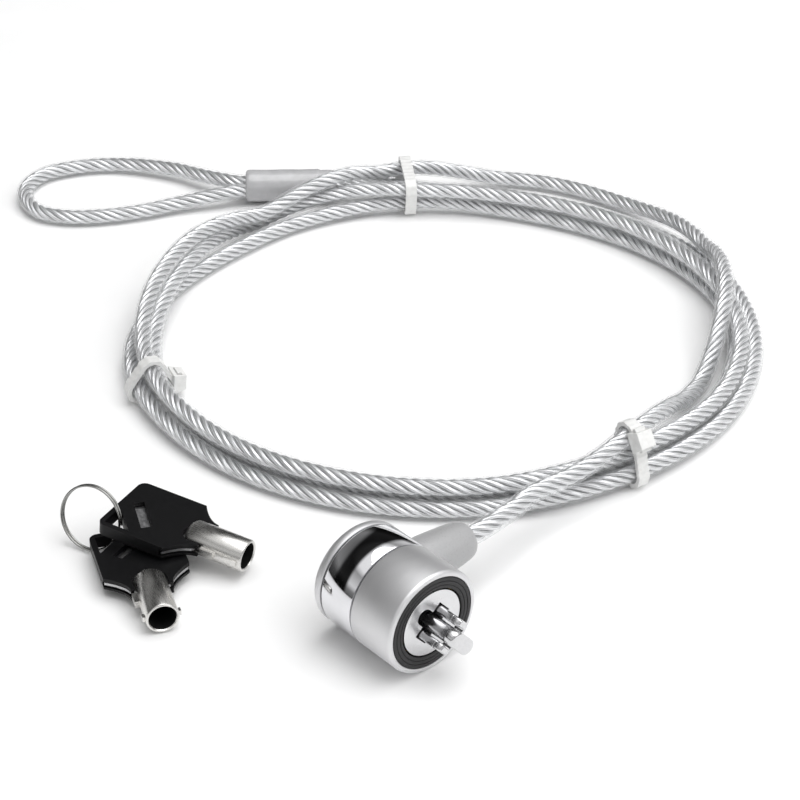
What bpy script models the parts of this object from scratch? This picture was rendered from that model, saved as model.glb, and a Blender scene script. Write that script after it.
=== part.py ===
"""Laptop cable lock: round lock head with a T-bar, steel cable, two tubular keys on a split ring.

World frame: +X out of the lock's front face, +Y the way the cable leaves the head, +Z up.
The origin is on the surface that everything lies on, below the middle of the lock and keys.
Every length below is in millimetres; meshes are scaled to metres as they are made.
"""
import math

import bmesh
import bpy
from mathutils import Matrix, Vector

MM = 0.001
GAP = 0.3                                  # clearance between pieces that touch

# Lock head: the origin of its frame is the centre of the front face, on the head's axis
HEAD_RADIUS = 10.05
HEAD_PLACE = (33.43, 5.5, HEAD_RADIUS)
SLEEVE_REAR = -10.15                       # front sleeve runs from here to the face
BAND_FRONT = SLEEVE_REAR - GAP
BAND_REAR = -18.15
CAP_FRONT = BAND_REAR - GAP
CAP_REAR = -20.8
CORE_BORE = 4.9                            # radius of the bore that the rotor turns in
KEY_OPENING = 3.6                          # radius of the opening in the rear cap
PIN_ROLL = 40.2                            # line of the guide pins, degrees from +Y toward +Z
PIN_REACH = 5.5
NECK_RADIUS = 1.5
TUMBLERS = 7
TUMBLER_CIRCLE = 2.8
TUMBLER_RADIUS = 0.45

# Strain relief and cable fixing, measured outward from the head's axis
BOOT_STATION = -14.3                       # where the boot stands on the head's axis
BOOT_TIP = 21.3
CABLE_DIAMETER = 4.0

# Coil, eye and ferrule
COIL_CENTRE = (-48.5, 81.75)
COIL_INNER = 55.6
COIL_OUTER = 70.8
COIL_BOTTOM = 1.35
COIL_TOP = 8.4
TIE_ANGLES = {"tie_top": 145.8, "tie_left": 251.8, "tie_right": -8.2}
TIE_WIDTH = 3.0
TIE_THICKNESS = 1.0
SLEEVE_RADIUS = 3.85
SLEEVE_HEIGHT = 4.2
SLEEVE_NEAR = (-111.2, 104.35)              # end that the cable comes in at
SLEEVE_FAR = (-124.9, 87.85)                # end that faces the eye

# Routes that aren't coiled: the lead after the boot's tip, and the eye from one leg to the other
LEAD_ROUTE = [(19, 31, 10), (18.5, 36, 10), (17.5, 41, 9.5), (16.5, 46, 9.5)]
EYE_ROUTE = [(-127.5, 88, 4), (-131, 86, 4), (-137, 84, 3.5), (-145, 81.5, 3), (-153, 77, 2.5),
             (-158.5, 72.5, 2.1), (-162.5, 66.5, 2.1), (-165, 59, 2.1), (-164, 53, 2.1),
             (-160.5, 48.5, 2.1), (-155.5, 46, 2.1), (-149.5, 45.5, 2.1), (-144.5, 48, 2.1),
             (-140.5, 52, 2.1), (-137, 57.5, 2.1), (-134, 64, 2.1), (-131, 72, 2.5),
             (-127, 80, 3.5), (-124, 86, 4)]

# Keys: each key's frame has its origin at the barrel's tip and +X out of the tip
BARREL_RADIUS = 3.1
BARREL_BORE = 2.5
BOW_REAR = -27.6
BOW_FRONT = -8.5
BOW_SHOULDER = -13.5
BOW_HALF = 8.0
BOW_ROOT = 3.9
BOW_HEIGHT = 1.2
POCKET = (-0.72, 0.36)
PLATE = (-0.43, 0.07)
KEY_PLACES = {
    "key_1": ((-8.5, -2.45, 4.5), 22.4, 5.0, -3.0),
    "key_2": ((-5.2, -23.85, 3.3), -23.35, -1.2, 0.0),
}

# Split ring
RING_CENTRE = (-35.1, -18.65, 6.5)
RING_RADIUS = 6.2
RING_PITCH = 0.7
RING_WIRE = 0.45
RING_AZIMUTH = -66.9
RING_ELEVATION = 17.2


# ---------------------------------------------------------------- scene and materials

def clear_scene():
    for obj in list(bpy.data.objects):
        bpy.data.objects.remove(obj, do_unlink=True)


def make_material(name, colour, roughness, metallic):
    mat = bpy.data.materials.new(name)
    mat.use_nodes = True
    shader = mat.node_tree.nodes["Principled BSDF"]
    shader.inputs["Base Color"].default_value = (*colour, 1.0)
    shader.inputs["Roughness"].default_value = roughness
    shader.inputs["Metallic"].default_value = metallic
    return mat


def make_materials():
    return {
        "satin": make_material("satin_metal", (0.72, 0.72, 0.73), 0.34, 1.0),
        "polished": make_material("polished_band", (0.78, 0.78, 0.80), 0.08, 1.0),
        "rubber": make_material("face_rubber", (0.06, 0.06, 0.06), 0.7, 0.0),
        "pin": make_material("pin_steel", (0.82, 0.82, 0.84), 0.2, 1.0),
        "brass": make_material("core_brass", (0.71, 0.56, 0.28), 0.3, 1.0),
        "boot": make_material("boot_plastic", (0.24, 0.24, 0.24), 0.5, 0.0),
        "cable": make_material("cable_steel", (0.62, 0.63, 0.65), 0.25, 1.0),
        "cover": make_material("ferrule_cover", (0.48, 0.48, 0.48), 0.25, 0.0),
        "nylon": make_material("tie_nylon", (0.86, 0.86, 0.84), 0.4, 0.0),
        "black": make_material("key_plastic", (0.012, 0.012, 0.013), 0.35, 0.0),
        "plate": make_material("key_plate", (0.55, 0.55, 0.56), 0.35, 1.0),
        "nickel": make_material("nickel_plate", (0.74, 0.73, 0.71), 0.15, 1.0),
    }


# ---------------------------------------------------------------- building blocks

def empty(name, place=(0, 0, 0), turn=None, parent=None):
    obj = bpy.data.objects.new(name, None)
    bpy.context.collection.objects.link(obj)
    obj.parent = parent
    obj.location = Vector(place) * MM
    if turn is not None:
        obj.rotation_euler = turn.to_euler()
    return obj


def add_piece(name, bm, mat, parent=None, place=(0, 0, 0), turn=None):
    """Turns a bmesh in millimetres into an object in metres."""
    bmesh.ops.remove_doubles(bm, verts=bm.verts, dist=1e-4)
    bmesh.ops.recalc_face_normals(bm, faces=bm.faces)
    bmesh.ops.scale(bm, vec=(MM, MM, MM), verts=bm.verts)
    mesh = bpy.data.meshes.new(name)
    bm.to_mesh(mesh)
    bm.free()
    mesh.shade_smooth()
    mesh.set_sharp_from_angle(angle=math.radians(32))
    obj = bpy.data.objects.new(name, mesh)
    bpy.context.collection.objects.link(obj)
    if mat is not None:
        mesh.materials.append(mat)
    obj.parent = parent
    obj.location = Vector(place) * MM
    if turn is not None:
        obj.rotation_euler = turn.to_euler()
    return obj


def cut(target, cutter):
    """Takes the cutter out of the target and hides the cutter."""
    cutter.hide_render = True
    cutter.display_type = "WIRE"
    mod = target.modifiers.new("cut_" + cutter.name, "BOOLEAN")
    mod.operation = "DIFFERENCE"
    mod.object = cutter


def turned(profile, sides, closed=True):
    """Spins a profile of (station on X, radius) about the X axis."""
    bm = bmesh.new()
    verts = [bm.verts.new((x, radius, 0)) for x, radius in profile]
    pairs = list(zip(verts, verts[1:]))
    if closed:
        pairs.append((verts[-1], verts[0]))
    edges = [bm.edges.new(pair) for pair in pairs]
    bmesh.ops.spin(bm, geom=verts + edges, cent=(0, 0, 0), axis=(1, 0, 0), angle=2 * math.pi,
                   steps=sides, use_merge=True)
    bmesh.ops.remove_doubles(bm, verts=bm.verts, dist=1e-4)
    return bm


def rod(radius, start, end, sides=16):
    return turned([(start, 0), (start, radius), (end, radius), (end, 0)], sides, closed=False)


def stacked(outline, stations):
    """Closed solid through copies of an outline (y, z) at stations of (x, scale about its middle)."""
    middle = sum((Vector(p) for p in outline), Vector((0, 0))) / len(outline)
    bm = bmesh.new()
    rings = []
    for x, scale in stations:
        points = [middle + (Vector(p) - middle) * scale for p in outline]
        rings.append([bm.verts.new((x, p.x, p.y)) for p in points])
    count = len(outline)
    for lower, upper in zip(rings, rings[1:]):
        for i in range(count):
            j = (i + 1) % count
            bm.faces.new((lower[i], lower[j], upper[j], upper[i]))
    bm.faces.new(rings[0])
    bm.faces.new(rings[-1])
    return bm


def block(low, high):
    bm = bmesh.new()
    bmesh.ops.create_cube(bm, size=1.0)
    low, high = Vector(low), Vector(high)
    size = high - low
    bmesh.ops.scale(bm, vec=size, verts=bm.verts)
    bmesh.ops.translate(bm, vec=(low + high) / 2, verts=bm.verts)
    return bm


def extruded(outline, low, high):
    """Prism on an outline of (x, y), from height low to high."""
    bm = bmesh.new()
    base = bm.faces.new([bm.verts.new((x, y, low)) for x, y in outline])
    grown = bmesh.ops.extrude_face_region(bm, geom=[base])
    top = [g for g in grown["geom"] if isinstance(g, bmesh.types.BMVert)]
    bmesh.ops.translate(bm, vec=(0, 0, high - low), verts=top)
    return bm


def add_bodies(bm, others):
    """Adds further separate bodies to a bmesh."""
    for other in others:
        mesh = bpy.data.meshes.new("part")
        other.to_mesh(mesh)
        other.free()
        bm.from_mesh(mesh)
        bpy.data.meshes.remove(mesh)
    return bm


def arc(centre, radius, start, end, steps):
    """Points on an arc, angles in degrees."""
    points = []
    for i in range(steps + 1):
        angle = math.radians(start + (end - start) * i / steps)
        points.append((centre[0] + radius * math.cos(angle), centre[1] + radius * math.sin(angle)))
    return points


def stadium(half_length, half_width, steps=6):
    """Oblong with round ends, long in its first coordinate."""
    reach = half_length - half_width
    return (arc((reach, 0), half_width, -90, 90, steps)
            + arc((-reach, 0), half_width, 90, 270, steps))


def rounded_box(low, high, radius, steps=3):
    """Rectangle (a, b) with rounded corners."""
    (a0, b0), (a1, b1) = low, high
    return (arc((a1 - radius, b0 + radius), radius, -90, 0, steps)
            + arc((a1 - radius, b1 - radius), radius, 0, 90, steps)
            + arc((a0 + radius, b1 - radius), radius, 90, 180, steps)
            + arc((a0 + radius, b0 + radius), radius, 180, 270, steps))


def smooth_route(knots, spacing):
    """Even points on a Catmull-Rom curve through the knots, in millimetres."""
    knots = [Vector(k) for k in knots]
    ends = [2 * knots[0] - knots[1]] + knots + [2 * knots[-1] - knots[-2]]
    dense = []
    for a, b, c, d in zip(ends, ends[1:], ends[2:], ends[3:]):
        for i in range(24):
            t = i / 24
            dense.append(0.5 * (2 * b + (c - a) * t + (2 * a - 5 * b + 4 * c - d) * t * t
                                + (3 * b - a - 3 * c + d) * t ** 3))
    dense.append(knots[-1])
    total = sum((q - p).length for p, q in zip(dense, dense[1:]))
    step = total / round(total / spacing)
    route, run = [dense[0]], 0.0
    for p, q in zip(dense, dense[1:]):
        run += (q - p).length
        if run >= step and (knots[-1] - q).length > step / 2:
            route.append(q)
            run = 0.0
    return route + [knots[-1]]


def tube(name, knots, diameter, mat, resolution=2, parent=None):
    """Filled-cap tube along a smooth curve through the knots."""
    route = smooth_route(knots, 2.4 * diameter)
    curve = bpy.data.curves.new(name, "CURVE")
    curve.dimensions = "3D"
    curve.bevel_depth = diameter / 2 * MM
    curve.bevel_resolution = resolution
    curve.use_fill_caps = True
    spline = curve.splines.new("POLY")
    spline.points.add(len(route) - 1)
    for point, place in zip(spline.points, route):
        point.co = (*(place * MM), 1.0)
    curve.materials.append(mat)
    obj = bpy.data.objects.new(name, curve)
    bpy.context.collection.objects.link(obj)
    obj.parent = parent
    return obj


def turn_x(degrees):
    return Matrix.Rotation(math.radians(degrees), 4, "X")


# ---------------------------------------------------------------- lock head

def make_housing(mats, head):
    sleeve = [(SLEEVE_REAR, 9.2), (SLEEVE_REAR, 9.8), (SLEEVE_REAR + 0.25, HEAD_RADIUS),
              (-0.8, HEAD_RADIUS), (-0.35, 9.95), (-0.1, 9.75), (0, 9.45), (0, 9.2)]
    add_piece("front_sleeve", turned(sleeve, 56), mats["satin"], head)

    round_off = arc((CAP_REAR + 1.6, HEAD_RADIUS - 1.6), 1.6, 90, 180, 4)
    cap = [(CAP_FRONT, KEY_OPENING), (CAP_FRONT, 9.85), (CAP_FRONT - 0.2, HEAD_RADIUS), *round_off,
           (CAP_REAR, KEY_OPENING + 0.3), (CAP_REAR + 0.3, KEY_OPENING)]
    rear_cap = add_piece("rear_cap", turned(cap, 56), mats["satin"], head)
    notch = add_piece("guide_notch", block((CAP_REAR - 1, -4.4, -0.8), (CAP_FRONT + 1, -2, 0.8)),
                      None, head)
    cut(rear_cap, notch)

    ring = [(-1.5, 6.75), (-1.5, 8.9), (-0.15, 8.9), (0, 8.75), (0, 6.9), (-0.15, 6.75)]
    add_piece("face_ring", turned(ring, 48), mats["rubber"], head)

    shell = [(BAND_REAR, CORE_BORE), (BAND_REAR, 7.3), (SLEEVE_REAR, 7.3), (SLEEVE_REAR, 8.9),
             (-1.8, 8.9), (-1.8, 6.5), (-3.9, 6.5), (-3.9, CORE_BORE), (-13.2, CORE_BORE),
             (-13.2, 5.4), (-14.4, 5.4), (-14.4, CORE_BORE)]
    add_piece("core_shell", turned(shell, 32), mats["brass"], head)

    gap_angle = 40
    outer = arc((0, 0), 5.1, gap_angle, 360 - gap_angle, 18)
    inner = arc((0, 0), 3.9, 360 - gap_angle, gap_angle, 18)
    add_piece("retaining_clip", stacked(outer + inner, [(-14.1, 1), (-13.5, 1)]), mats["pin"], head)


def make_face(mats, head):
    """Front disc with its opening, and the two guide pins on their base plate."""
    roll = turn_x(PIN_ROLL)
    disc_profile = [(-1.8, 0), (-1.8, 6.45), (-0.25, 6.45), (-0.1, 6.3), (-0.1, 0)]
    disc = add_piece("face_disc", turned(disc_profile, 48, closed=False), mats["satin"], head,
                     turn=roll)
    opening = [(a, b) for b, a in stadium(4.3, 1.55)]
    cut(disc, add_piece("disc_opening", stacked(opening, [(-3, 1), (1, 1)]), None, head, turn=roll))
    slots = [(-3.66, -1.66), (3.66, -1.66), (3.66, 1.66), (-3.66, 1.66)]
    cut(disc, add_piece("pin_slots", stacked(slots, [(-3, 1), (1, 1)]), None, head, turn=roll))

    base = add_piece("guide_pins", turned([(-3.6, 1.8), (-3.6, 6.2), (-2.1, 6.2), (-2.1, 1.8)], 32),
                     mats["pin"], head, turn=roll)
    stations = [(-2.6, 1), (3.55, 1), (3.6, 0.94), (3.8, 0.94), (3.85, 1), (4.7, 1), (5.2, 0.86),
                (PIN_REACH, 0.55)]
    for side, low, high in (("a", 1.86, 3.36), ("b", -3.36, -1.86)):
        outline = rounded_box((low, -1.35), (high, 1.35), 0.45)
        pin = add_piece("pin_" + side, stacked(outline, stations), None, head, turn=roll)
        pin.hide_render = True
        pin.display_type = "WIRE"
        join = base.modifiers.new("add_pin_" + side, "BOOLEAN")
        join.operation = "UNION"
        join.object = pin


def make_rotor(mats, head):
    rotor = [(-19.9, 0), (-19.9, 1.7), (-19.6, 2.0), (-13.2, 2.0), (-13.2, 4.6), (-4.2, 4.6),
             (-4.2, NECK_RADIUS + GAP), (-8.0, NECK_RADIUS + GAP), (-8.0, 0)]
    core = add_piece("core_rotor", turned(rotor, 28, closed=False), mats["brass"], head)
    bores = []
    for place in tumbler_places():
        bore = rod(TUMBLER_RADIUS + GAP, -13.6, -8.6, 10)
        bmesh.ops.translate(bore, vec=(0, *place), verts=bore.verts)
        bores.append(bore)
    cut(core, add_piece("tumbler_bores", add_bodies(bores[0], bores[1:]), None, head))

    head_outline = [(a, b) for b, a in stadium(3.4, 1.55)]
    bar = stacked(head_outline, [(5.7, 0.9), (5.95, 1), (7.2, 1), (7.55, 0.93), (7.75, 0.7)])
    t_bar = add_piece("t_bar", bar, mats["pin"], head, turn=turn_x(PIN_ROLL))
    neck = add_piece("neck", rod(NECK_RADIUS, -7.7, 6.5, 20), None, head)
    neck.hide_render = True
    neck.display_type = "WIRE"
    join = t_bar.modifiers.new("add_neck", "BOOLEAN")
    join.operation = "UNION"
    join.object = neck

    across = Matrix.Rotation(math.radians(90), 4, "Y")
    cut(core, add_piece("rotor_pin_hole", rod(0.8, -6, 6, 10), None, head, (-6.2, 0, 0), across))
    cut(t_bar, add_piece("neck_pin_hole", rod(0.8, -3, 3, 10), None, head, (-6.2, 0, 0), across))
    add_piece("roll_pin", rod(0.5, -4.3, 4.3, 10), mats["pin"], head, (-6.2, 0, 0), across)


def tumbler_places():
    """Centres (y, z) of the tumbler bores around the head's axis."""
    places = []
    for i in range(TUMBLERS):
        angle = math.radians(90 + 360 * i / TUMBLERS)
        places.append((TUMBLER_CIRCLE * math.cos(angle), TUMBLER_CIRCLE * math.sin(angle)))
    return places


def spring(start, end, radius, wire, turns):
    """Small compression spring: a square wire swept along a helix."""
    steps = 8
    total = int(turns * steps)
    bm = bmesh.new()
    rings = []
    for i in range(total + 1):
        angle = 2 * math.pi * i / steps
        x = start + wire + (end - start - 2 * wire) * i / total
        out = Vector((0, math.cos(angle), math.sin(angle)))
        centre = Vector((x, 0, 0)) + out * radius
        along = Vector((1, 0, 0))
        rings.append([bm.verts.new(centre + wire * (a * along + b * out))
                      for a, b in ((-1, 0), (0, -1), (1, 0), (0, 1))])
    for lower, upper in zip(rings, rings[1:]):
        for i in range(4):
            j = (i + 1) % 4
            bm.faces.new((lower[i], lower[j], upper[j], upper[i]))
    bm.faces.new(rings[0])
    bm.faces.new(rings[-1])
    return bm


def make_tumblers(mats, head):
    for number, place in enumerate(tumbler_places(), start=1):
        add_piece(f"tumbler_pin_{number}", rod(TUMBLER_RADIUS, -15.4, -11.3, 8), mats["pin"], head,
                  (0, *place))
        add_piece(f"tumbler_spring_{number}", spring(-11.0, -8.9, 0.33, 0.11, 3), mats["pin"], head,
                  (0, *place))


def make_cable_side(mats, head):
    """The band that the head turns in, and the cable's fixing inside the boot."""
    band = [(BAND_REAR, 7.6), (BAND_REAR, 9.75), (BAND_REAR + 0.3, HEAD_RADIUS),
            (BAND_FRONT - 0.3, HEAD_RADIUS), (BAND_FRONT, 9.75), (BAND_FRONT, 7.6)]
    ring = add_piece("swivel_ring", turned(band, 56), mats["polished"], head)

    # The boot's own axis runs along +Y, so its pieces are turned about X and then swung round
    sideways = Matrix.Rotation(math.radians(90), 4, "Z")
    station = (BOOT_STATION, 0, 0)
    cut(ring, add_piece("stud_hole", rod(2.9, 4, 12, 16), None, head, station, sideways))

    outside = [(8.6, 2.9), (8.6, 4.65), (11, 4.6), (15, 4.3), (18, 4.0), (19.7, 3.75), (20.6, 3.4),
               (21.1, 2.95), (BOOT_TIP, 2.5), (BOOT_TIP, 2.2), (15.3, 2.2), (15.3, 2.9)]
    boot = add_piece("boot", turned(outside, 32), mats["boot"], head, station, sideways)
    seat = add_piece("boot_seat", rod(HEAD_RADIUS + GAP, -24, -4, 56), None, head)
    cut(boot, seat)

    anchor_profile = [(7.9, 0), (7.9, 2.6), (15, 2.6), (15, 2.1), (10, 2.1), (10, 0)]
    anchor = add_piece("cable_anchor", turned(anchor_profile, 20, closed=False), mats["pin"], head,
                       station, sideways)
    plug = add_piece("crimp_plug", rod(1.8, 10.3, 21.0, 16), mats["cable"], head, station, sideways)
    cross = (BOOT_STATION, 12.5, 0)
    cut(anchor, add_piece("anchor_pin_hole", rod(0.8, -4, 4, 10), None, head, cross))
    cut(plug, add_piece("plug_pin_hole", rod(0.8, -4, 4, 10), None, head, cross))
    add_piece("anchor_pin", rod(0.5, -2.4, 2.4, 10), mats["pin"], head, cross)


# ---------------------------------------------------------------- cable

def make_cable(mats):
    """The cable's plain solids: lead, coil and eye."""
    boot_x = HEAD_PLACE[0] + BOOT_STATION
    boot_y = HEAD_PLACE[1] + BOOT_TIP + GAP
    tube("cable_lead", [(boot_x, boot_y, HEAD_RADIUS), *LEAD_ROUTE], CABLE_DIAMETER, mats["cable"])

    middle = (COIL_BOTTOM + COIL_TOP) / 2
    half = (COIL_TOP - COIL_BOTTOM) / 2
    width = (COIL_OUTER - COIL_INNER) / 2
    section = [((COIL_INNER + COIL_OUTER) / 2 + width * a, middle + half * b)
               for a, b in ((-1, -0.45), (-0.7, -1), (0.7, -1), (1, -0.45),
                            (1, 0.45), (0.7, 1), (-0.7, 1), (-1, 0.45))]
    bm = bmesh.new()
    verts = [bm.verts.new((radius, 0, z)) for radius, z in section]
    edges = [bm.edges.new(pair) for pair in zip(verts, verts[1:] + verts[:1])]
    bmesh.ops.spin(bm, geom=verts + edges, cent=(0, 0, 0), axis=(0, 0, 1), angle=2 * math.pi,
                   steps=64, use_merge=True)
    coil = add_piece("cable_coil", bm, mats["cable"], place=(*COIL_CENTRE, 0))

    near, far = Vector(SLEEVE_NEAR), Vector(SLEEVE_FAR)
    length = (far - near).length
    frame = empty("ferrule_frame", (*near, SLEEVE_HEIGHT), sleeve_turn())
    recess = rod(SLEEVE_RADIUS + 2 * GAP, -GAP, length + 2, 24)
    cut(coil, add_piece("ferrule_recess", recess, None, frame))

    cover = [(0.3, 3.0), (0, SLEEVE_RADIUS - 0.8), (0.3, SLEEVE_RADIUS - 0.5),
             (0.9, SLEEVE_RADIUS - 0.25), (3.9, SLEEVE_RADIUS - 0.25), (4.1, SLEEVE_RADIUS),
             (length - 0.8, SLEEVE_RADIUS), (length - 0.3, SLEEVE_RADIUS - 0.15),
             (length, SLEEVE_RADIUS - 0.6), (length - 0.3, 3.0)]
    add_piece("ferrule_sleeve", turned(cover, 32), mats["cover"], frame)
    add_piece("ferrule", rod(2.7, 2.0, length - 2.0, 20), mats["pin"], frame)

    tube("cable_eye", EYE_ROUTE, CABLE_DIAMETER, mats["cable"])


def sleeve_turn():
    """Turns +X from the near end of the ferrule's cover to the far end."""
    run = Vector(SLEEVE_FAR) - Vector(SLEEVE_NEAR)
    return Matrix.Rotation(math.atan2(run.y, run.x), 4, "Z")


def make_ties(mats):
    """Closed nylon straps around the coil's section."""
    for name, angle in TIE_ANGLES.items():
        inner = rounded_box((COIL_INNER - GAP, COIL_BOTTOM - GAP - 0.05), (COIL_OUTER + GAP, COIL_TOP + GAP),
                            1.4)
        outer = rounded_box((COIL_INNER - GAP - TIE_THICKNESS, 0.0),
                            (COIL_OUTER + GAP + TIE_THICKNESS, COIL_TOP + GAP + TIE_THICKNESS), 2.2)
        bm = bmesh.new()
        rings = []
        for side in (-TIE_WIDTH / 2, TIE_WIDTH / 2):
            rings.append([[bm.verts.new((r, side, z)) for r, z in loop] for loop in (inner, outer)])
        (inner_a, outer_a), (inner_b, outer_b) = rings
        count = len(inner)
        for i in range(count):
            j = (i + 1) % count
            bm.faces.new((inner_a[i], inner_a[j], outer_a[j], outer_a[i]))
            bm.faces.new((inner_b[j], inner_b[i], outer_b[i], outer_b[j]))
            bm.faces.new((inner_a[j], inner_a[i], inner_b[i], inner_b[j]))
            bm.faces.new((outer_a[i], outer_a[j], outer_b[j], outer_b[i]))
        turn = Matrix.Rotation(math.radians(angle), 4, "Z")
        add_piece(name, bm, mats["nylon"], place=(*COIL_CENTRE, 0), turn=turn)


# ---------------------------------------------------------------- keys

def shoulder(inset, start, end):
    """Hollow front edge of the bow on its +Y side, from fraction start to fraction end."""
    points = []
    for i in range(7):
        t = start + (end - start) * i / 6
        x = BOW_SHOULDER + (BOW_FRONT - BOW_SHOULDER) * t
        y = BOW_HALF + (BOW_ROOT - BOW_HALF) * (1 - (1 - t) ** 1.8)
        points.append((x - inset, y - inset))
    return points


def mirrored(upper):
    """Closes an outline that is drawn on the +Y side only."""
    return upper + [(x, -y) for x, y in reversed(upper)]


def bow_outline():
    """Outline of a key's bow: round rear corners, straight sides, shoulders hollowed to the barrel."""
    corner = 1.6
    rear = arc((BOW_REAR + corner, BOW_HALF - corner), corner, 90, 180, 4)
    return mirrored(shoulder(0, 0, 1)[::-1] + rear)


def make_key(name, mats):
    place, heading, dip, roll = KEY_PLACES[name]
    turn = (Matrix.Rotation(math.radians(heading), 4, "Z")
            @ Matrix.Rotation(math.radians(dip), 4, "Y") @ turn_x(roll))
    frame = empty(name + "_frame", place, turn)

    bow = add_piece(name + "_bow", extruded(bow_outline(), -BOW_HEIGHT, BOW_HEIGHT), mats["black"],
                    frame)
    pocket = [(-20.6, -5.4), (-15.2, -5.4), (-14.0, -8.6), (-8, -8.6), (-8, 8.6), (-14.0, 8.6),
              (-15.2, 5.4), (-22, 5.4), (-25.8, 3.4), (-25.8, 0.2)]
    cut(bow, add_piece(name + "_pocket", extruded(pocket, *POCKET), None, frame))
    window = [(-19.9, -4.9), (-18.5, -3.4), (-23.8, 2.5), (-25.2, 1.0)]
    cut(bow, add_piece(name + "_window", extruded(window, 0, 3), None, frame))
    hole = [(-26.5, -6.9), (-21.3, -6.9), (-26.5, -1.7)]
    cut(bow, add_piece(name + "_ring_hole", extruded(hole, -3, 3), None, frame))
    seat = turned([(-13.0, 0), (-13.0, 1.8), (-12.3, 2.9), (-11.4, 3.4), (-7, 3.4), (-7, 0)], 24,
                  closed=False)
    cut(bow, add_piece(name + "_barrel_seat", seat, None, frame))

    front = shoulder(0.2, 0, 0.8)
    plate = [(-25.5, 3.2), (-22, 5.1), (-14.7, 5.1), *front, (-9.4, 3.4), (-9.4, -3.4)]
    plate += [(x, -y) for x, y in reversed(front)] + [(-14.7, -5.1), (-20.5, -5.1), (-25.5, 0.3)]
    add_piece(name + "_plate", extruded(plate, *PLATE), mats["plate"], frame)

    tube_profile = [(-12.5, 0), (-12.5, 1.6), (-12.0, 2.5), (-11.2, BARREL_RADIUS),
                    (-0.25, BARREL_RADIUS), (0, BARREL_RADIUS - 0.25), (0, BARREL_BORE + 0.15),
                    (-0.2, BARREL_BORE), (-7.5, BARREL_BORE), (-7.5, 0)]
    barrel = add_piece(name + "_barrel", turned(tube_profile, 24, closed=False), mats["nickel"],
                       frame)
    tongue_slot = block((-14, -4, POCKET[0]), (-9.0, 4, POCKET[1]))
    cut(barrel, add_piece(name + "_tongue_slot", tongue_slot, None, frame))
    underside = block((-14, -4, -5), (BOW_FRONT + GAP, 4, -BOW_HEIGHT))
    cut(barrel, add_piece(name + "_underside", underside, None, frame))
    lugs = [block((-8.1, -3.9, -0.7), (-5.4, -2.9, 0.7)),
            block((-1.7, -3.5, -0.5), (-0.7, -2.8, 0.5)), block((-1.7, 2.8, -0.5), (-0.7, 3.5, 0.5))]
    lug = add_piece(name + "_lugs", add_bodies(lugs[0], lugs[1:]), None, frame)
    lug.hide_render = True
    lug.display_type = "WIRE"
    join = barrel.modifiers.new("add_lugs", "BOOLEAN")
    join.operation = "UNION"
    join.object = lug


def make_ring(mats):
    """Split ring: two turns of wire, a pitch apart, in a plane that leans."""
    steps = 36
    total = 2 * steps
    sides = 6
    bm = bmesh.new()
    rings = []
    for i in range(total + 1):
        angle = 2 * math.pi * i / steps
        out = Vector((0, math.cos(angle), math.sin(angle)))
        centre = out * RING_RADIUS + Vector(((i / total - 0.5) * RING_PITCH * 2, 0, 0))
        ring = []
        for k in range(sides):
            around = 2 * math.pi * k / sides
            offset = math.cos(around) * out + math.sin(around) * Vector((1, 0, 0))
            ring.append(bm.verts.new(centre + offset * RING_WIRE / 2))
        rings.append(ring)
    for lower, upper in zip(rings, rings[1:]):
        for i in range(sides):
            j = (i + 1) % sides
            bm.faces.new((lower[i], lower[j], upper[j], upper[i]))
    bm.faces.new(rings[0])
    bm.faces.new(rings[-1])
    turn = (Matrix.Rotation(math.radians(RING_AZIMUTH), 4, "Z")
            @ Matrix.Rotation(math.radians(-RING_ELEVATION), 4, "Y"))
    add_piece("key_ring", bm, mats["nickel"], place=RING_CENTRE, turn=turn)


def main():
    clear_scene()
    mats = make_materials()
    head = empty("head_axis", HEAD_PLACE)
    make_housing(mats, head)
    make_face(mats, head)
    make_rotor(mats, head)
    make_tumblers(mats, head)
    make_cable_side(mats, head)
    make_cable(mats)
    make_ties(mats)
    for name in KEY_PLACES:
        make_key(name, mats)
    make_ring(mats)


main()
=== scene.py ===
import math

import bmesh
import bpy
from mathutils import Matrix, Vector


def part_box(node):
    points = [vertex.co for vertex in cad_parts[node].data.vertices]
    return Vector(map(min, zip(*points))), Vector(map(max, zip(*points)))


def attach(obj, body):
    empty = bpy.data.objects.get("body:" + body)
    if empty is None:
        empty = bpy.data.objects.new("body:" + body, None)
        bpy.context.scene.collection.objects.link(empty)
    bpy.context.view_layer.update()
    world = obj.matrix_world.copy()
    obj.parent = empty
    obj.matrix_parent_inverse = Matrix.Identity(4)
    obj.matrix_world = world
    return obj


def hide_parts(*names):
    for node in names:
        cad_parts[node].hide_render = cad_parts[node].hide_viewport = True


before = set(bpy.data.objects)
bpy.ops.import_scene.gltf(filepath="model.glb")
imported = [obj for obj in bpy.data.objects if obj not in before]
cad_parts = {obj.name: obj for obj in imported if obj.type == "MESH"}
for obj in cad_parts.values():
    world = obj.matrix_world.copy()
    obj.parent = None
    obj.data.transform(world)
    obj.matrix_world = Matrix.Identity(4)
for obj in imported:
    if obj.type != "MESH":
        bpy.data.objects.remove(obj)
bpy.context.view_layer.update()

MM = 0.001
GAP = 0.3                                   # between the boot and the band it sits on
SIDES = 128                                 # steps round a turned piece


def node_box(node):
    """Lowest and highest corner of a CAD node, in millimetres."""
    low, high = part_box(node)
    return Vector(low) / MM, Vector(high) / MM


# ---------------------------------------------------------------- places, from the frame

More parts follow.
